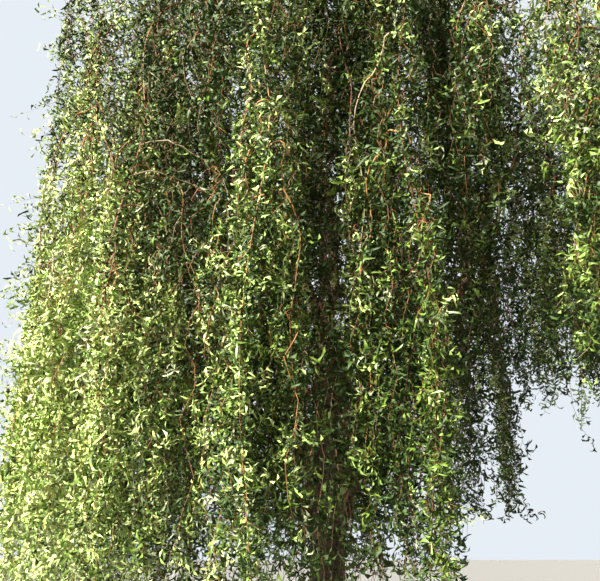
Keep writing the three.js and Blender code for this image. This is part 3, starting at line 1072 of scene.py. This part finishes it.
# how the leaves of a path point, and the directions of their widths
def sprayAt(tangents, chance):
    count = len(tangents)
    first = chance.uniform(*phases)
    shift = chance.uniform(-sprayRule["turnShift"], sprayRule["turnShift"], count)
    across = acrossPath(tangents, first + np.arange(count) * sprayRule["turn"] + shift)
    lean = chance.uniform(*sprayRule["lean"], count)[:, None] * degree
    along = unit(tangents * np.cos(lean) + across * np.sin(lean) - up * sprayRule["droop"])
    side = unit(np.cross(along, tangents) + nearlyNothing)
    face = np.cross(along, side)
    roll = chance.uniform(-sprayRule["roll"], sprayRule["roll"], count)[:, None]
    return along, side * np.cos(roll) + face * np.sin(roll)


def bladeSizes(count, widthShare, chance):
    length = chance.uniform(*sprayRule["length"], count)
    hand = chance.choice([-1.0, 1.0], count)
    return {
        "length": length,
        "width": length * chance.uniform(*widthShare, count) * hand,
        "curl": chance.uniform(*sprayRule["curl"], count) * chance.choice([-1.0, 1.0], count),
        "bend": chance.uniform(-sprayRule["bend"], sprayRule["bend"], count),
        "twist": chance.uniform(-sprayRule["twist"], sprayRule["twist"], count),
    }


# weights of the leaf tones, in their order, that paint sunlight on the left and shade on the right and
# inwards
sunAndShadeWeights = {
    "left": np.array([0.45, 0.26, 0.15, 0.04, 0.10]),
    "right": np.array([0.015, 0.085, 0.29, 0.57, 0.04]),
    "inner": np.array([0.0, 0.01, 0.07, 0.91, 0.01]),
    "middleShare": 0.02,  # how sunny the middle is
    "leftGain": 0.8,  # and how much sunnier a metre further left
    "innerFrom": 2.25,  # out from the trunk
    "innerDepth": 0.7,
    "innerTop": 6.5,
    "sunlitDepth": 0.5,  # how much further in the sunny side stays light
    "topLoss": 0.35,  # how much of that light is gone a metre above the height
    "topHeight": 3.1,
    "paintedLightCrest": (0.7, 3.1, 0.4),  # the high right is painted lighter again: from which side, height, and how much
    "paintedLightCrestBlend": (0.4, 0.7),
    "paintedShadeRecess": (240 * degree, 12 * degree, 2.75),  # painted shade in a fold: its direction, half width and foot
    "paintedShadeRecessBlend": 0.4,
}


def clamp(value):
    return min(1.0, max(0.0, value))


# deals out a tone by place, painting sunlight on the left and shade on the right, inside, in the fold and by
# the given shade
def sunAndShadeTone(place, shade, chance):
    rule = sunAndShadeWeights
    share = clamp(rule["middleShare"] - rule["leftGain"] * place[0])
    share *= 1 - rule["topLoss"] * clamp(place[2] - rule["topHeight"])
    edge, height, light = rule["paintedLightCrest"]
    edgeBlend, heightBlend = rule["paintedLightCrestBlend"]
    share += light * clamp((place[0] - edge) / edgeBlend) * clamp((place[2] - height) / heightBlend)
    weights = rule["left"] * share + rule["right"] * (1 - share)
    away = place - crownPoint(0, 0, place[2])
    out = math.hypot(away[0], away[1])
    turn, reach, foot = rule["paintedShadeRecess"]
    aside = abs((math.atan2(away[1], away[0]) - turn + math.pi) % fullTurn - math.pi)
    if aside < reach:
        shade = max(shade, clamp((place[2] - foot) / rule["paintedShadeRecessBlend"]))
    # how far the tone is painted into the inner shade
    depth = clamp((rule["innerFrom"] - rule["sunlitDepth"] * share - out) / rule["innerDepth"])
    depth = max(shade, depth * clamp(rule["innerTop"] - place[2]))
    weights = weights * (1 - depth) + rule["inner"] * depth
    return chance.choice(len(weights), p=weights / weights.sum())


# roots along a path, each shifted by a share of the spacing, and the path's directions there
def rootsAlong(path, spacing, kind, chance):
    length = pathLength(path)
    low, high, last = sprayRule[kind + "Places"]
    starts = np.arange(low * length, high * length, spacing)
    starts = starts + chance.uniform(*sprayRule[kind + "Shift"], len(starts)) * spacing
    return alongPath(path, np.clip(starts, 0, length * last))


def leavesAlong(path, rule, chance):
    roots, tangents = rootsAlong(path, rule["leafSpacing"], "leaf", chance)
    along, side = sprayAt(tangents, chance)
    tones = np.full(len(roots), sunAndShadeTone(path[len(path) // 2], rule["shade"], chance))
    for low in range(0, len(roots), sprayRule["bundle"]):
        if chance.random() < sprayRule["bundleChange"]:
            tones[low : low + sprayRule["bundle"]] = sunAndShadeTone(roots[low], rule["shade"], chance)
    sizes = bladeSizes(len(roots), rule["leafWidth"], chance)
    return {"root": roots, "along": along, "side": side, "tone": tones, **sizes}


# short side shoots: their roots, their tips and their leaves
def spursAlong(path, rule, chance):
    roots, tangents = rootsAlong(path, rule["spurSpacing"], "spur", chance)
    across = acrossPath(tangents, chance.uniform(*sprayRule["spurTurn"], len(roots)))
    lean = chance.uniform(*sprayRule["spurLean"], len(roots))[:, None] * degree
    heading = unit(tangents * np.cos(lean) + across * np.sin(lean))
    tips = roots + heading * chance.uniform(*rule["spurLength"], len(roots))[:, None]
    number = sprayRule["spurLeaves"]
    shares = np.linspace(*sprayRule["spurLeafPlaces"], number)
    leafRoots = (roots[:, None] + (tips - roots)[:, None] * shares[None, :, None]).reshape(-1, 3)
    along, side = sprayAt(np.repeat(heading, number, axis=0), chance)
    tones = np.repeat([sunAndShadeTone(root, rule["shade"], chance) for root in roots], number)
    sizes = bladeSizes(len(leafRoots), rule["leafWidth"], chance)
    return roots, tips, {"root": leafRoots, "along": along, "side": side, "tone": tones, **sizes}


# a branch, and how far above the hem its strands end
def growBranch(stem, rule, number, chance):
    places, count = rule["to"] - rule["from"], rule["branches"]
    start = pointAt(stem["path"], rule["from"] + places * (number + chance.uniform(0, 1)) / count)
    hand = 1 if number % 2 == 0 else -1
    shift, spread, lift = rule["folds"][number * len(rule["folds"]) // count]
    sideways = shift + hand * spread * chance.uniform(*branchRule["reach"])
    outwards = chance.uniform(*rule["depth"])
    if rule["drop"] is None:
        hang = (start[2] - stem["path"][-1][2] - lift) * chance.uniform(*branchRule["hang"])
    else:
        hang = chance.uniform(*rule["drop"]) * branchRule["dropShare"]
        hang += rule["slump"] * math.hypot(sideways, outwards)
    path, reference = hangingPath(start, stem["angle"], sideways, outwards, hang, branchRule, chance)
    radius = np.linspace(*branchRule["radius"], len(path))
    return {"path": path, "reference": reference, "radius": radius}, lift


def growStrand(stem, rule, branch, lift, chance):
    root = pointAt(branch["path"], chance.uniform(*branchRule["strandPlaces"]))
    if rule["drop"] is None:
        end = stem["path"][-1][2] + lift + chance.uniform(*rule["hem"])
        drop = max(strandRule["shortest"], root[2] - end)
    else:
        drop = min(chance.uniform(*rule["drop"]), root[2] - strandRule["lowest"])
    sideways, outwards = (chance.uniform(-rule["offset"], rule["offset"]) for _ in range(2))
    path, reference = hangingPath(root, stem["angle"], sideways, outwards, drop, strandRule, chance)
    radius = np.linspace(chance.uniform(*strandRule["radius"]), strandRule["tipRadius"], len(path))
    return {"path": path, "reference": reference, "radius": radius}


def strandsOfStem(stem, rule, chance):
    found = []
    for number in range(rule["branches"]):
        branch, lift = growBranch(stem, rule, number, chance)
        found.append(branch)
        found += [growStrand(stem, rule, branch, lift, chance) for _ in range(rule["strands"])]
    return found


twigWeights = {"outer": (0.32, 0.38, 0.16, 0.14), "inner": (0.04, 0.30, 0.04, 0.62)}  # orange, red, tan, dark
stemGrowth = {
    "seed": 900,
    "thickness": 0.7,  # of the solids' stems
    "leafyFrom": (20, 14),  # the steps from which a stem has leaves of its own, twice over
}


# all that grows on one side of the tree, as two joined pieces
def growGroup(label, names):
    chance = np.random.default_rng(stemGrowth["seed"] + list(groups).index(label))
    tubes, leaves, spurs = [], [], []
    grown = [stem for stem in stems if stem["name"] in names]
    if label == "Inner":
        grown += [{**limb, "kind": "limb"} for limb in limbs]
    for stem in grown:
        rule = {**everyGrowth, **growth[stem["kind"]], **stemTweaks.get(stem["name"], {})}
        strands = strandsOfStem(stem, rule, chance)
        tubes += strands
        leafy = [strand["path"] for strand in strands]
        if stem["kind"] != "limb":
            thickness = np.linspace(stemShape["radius"], stemShape["tipRadius"], len(stem["path"]))
            radius = stemGrowth["thickness"] * thickness
            tubes.append({"path": stem["path"], "reference": stem["side"], "radius": radius})
            leafy += [stem["path"][step:] for step in stemGrowth["leafyFrom"]]
        for path in leafy:
            leaves.append(leavesAlong(path, rule, chance))
            roots, tips, blades = spursAlong(path, rule, chance)
            spurs.append((roots, tips))
            leaves.append(blades)
    weights = twigWeights["inner" if label == "Inner" else "outer"]
    tube = tubeArrays(tubes, hangRule["sides"], chance.choice(len(weights), len(tubes), p=weights))
    roots, tips = (np.concatenate(part) for part in zip(*spurs))
    spurTones = chance.choice(len(weights), len(roots), p=weights)
    spur = spurArrays(roots, tips, sprayRule["spurRadius"], spurTones)
    blades = {key: np.concatenate([part[key] for part in leaves]) for key in leaves[0]}
    print(f"  {label}: {len(tubes)} twigs, {len(roots)} spurs, {len(blades['root'])} leaves")
    count = newPiece("twigs" + label, *joined(tube, spur), twigMaterials, "bough_bark", names)
    return count + newPiece("leaves" + label, *leafArrays(blades), leafMaterials, "foliage", names)


for label, names in groups.items():
    total += growGroup(label, names)
print("foliage made,", total, "triangles in all")

# a plain floor and sky, and soft sun lamps
studio = {
    "floor": (0.115, 0.115, 0.112),
    "floorReach": 60.0,
    "floorRoughness": 0.9,
    "sky": (0.80, 0.86, 0.92),
    "skySeen": 1.0,
    "skyLight": 0.07,
    "colour": (1.0, 0.955, 0.87),
    # round from the right, height above level, softness, strength
    "lights": {
        "keyLight": (219 * degree, 40 * degree, 9 * degree, 18.5),
        "sideLight": (197 * degree, 18 * degree, 36 * degree, 7.0),
        "backLight": (38 * degree, 28 * degree, 60 * degree, 3.2),
    },
    "lampOut": 9.0,
    "lampHeight": 7.0,
}


def makeFloor():
    mesh = bpy.data.meshes.new("floor")
    reach = studio["floorReach"]
    corners = [(-reach, -reach, 0), (reach, -reach, 0), (reach, reach, 0), (-reach, reach, 0)]
    mesh.from_pydata(corners, [], [(0, 1, 2, 3)])
    floor = addObject("floor", mesh)
    material = bpy.data.materials.new("paleFloor")
    material.use_nodes = True
    shader = material.node_tree.nodes["Principled BSDF"]
    shader.inputs["Base Color"].default_value = (*studio["floor"], 1)
    shader.inputs["Roughness"].default_value = studio["floorRoughness"]
    mesh.materials.append(material)


# a sky that is seen brighter than it lights
def makeSky():
    world = bpy.data.worlds.new("studioSky")
    world.use_nodes = True
    tree = world.node_tree
    background = tree.nodes["Background"]
    background.inputs["Color"].default_value = (*studio["sky"], 1)
    seen = tree.nodes.new("ShaderNodeLightPath").outputs["Is Camera Ray"]
    strength = ranged(tree, seen, To_Min=studio["skyLight"], To_Max=studio["skySeen"])
    tree.links.new(strength, background.inputs["Strength"])
    bpy.context.scene.world = world


def makeLights():
    for name, (turn, rise, softness, strength) in studio["lights"].items():
        data = bpy.data.lights.new(name, "SUN")
        data.angle = softness
        data.energy = strength
        data.color = studio["colour"]
        lamp = addObject(name, data)
        lamp.location = outward(turn) * studio["lampOut"] + up * studio["lampHeight"]
        lamp.rotation_euler = (0, math.pi / 2 - rise, turn)


makeFloor()
makeSky()
makeLights()
bpy.context.scene.view_settings.view_transform = "Standard"
print("floor and light made")
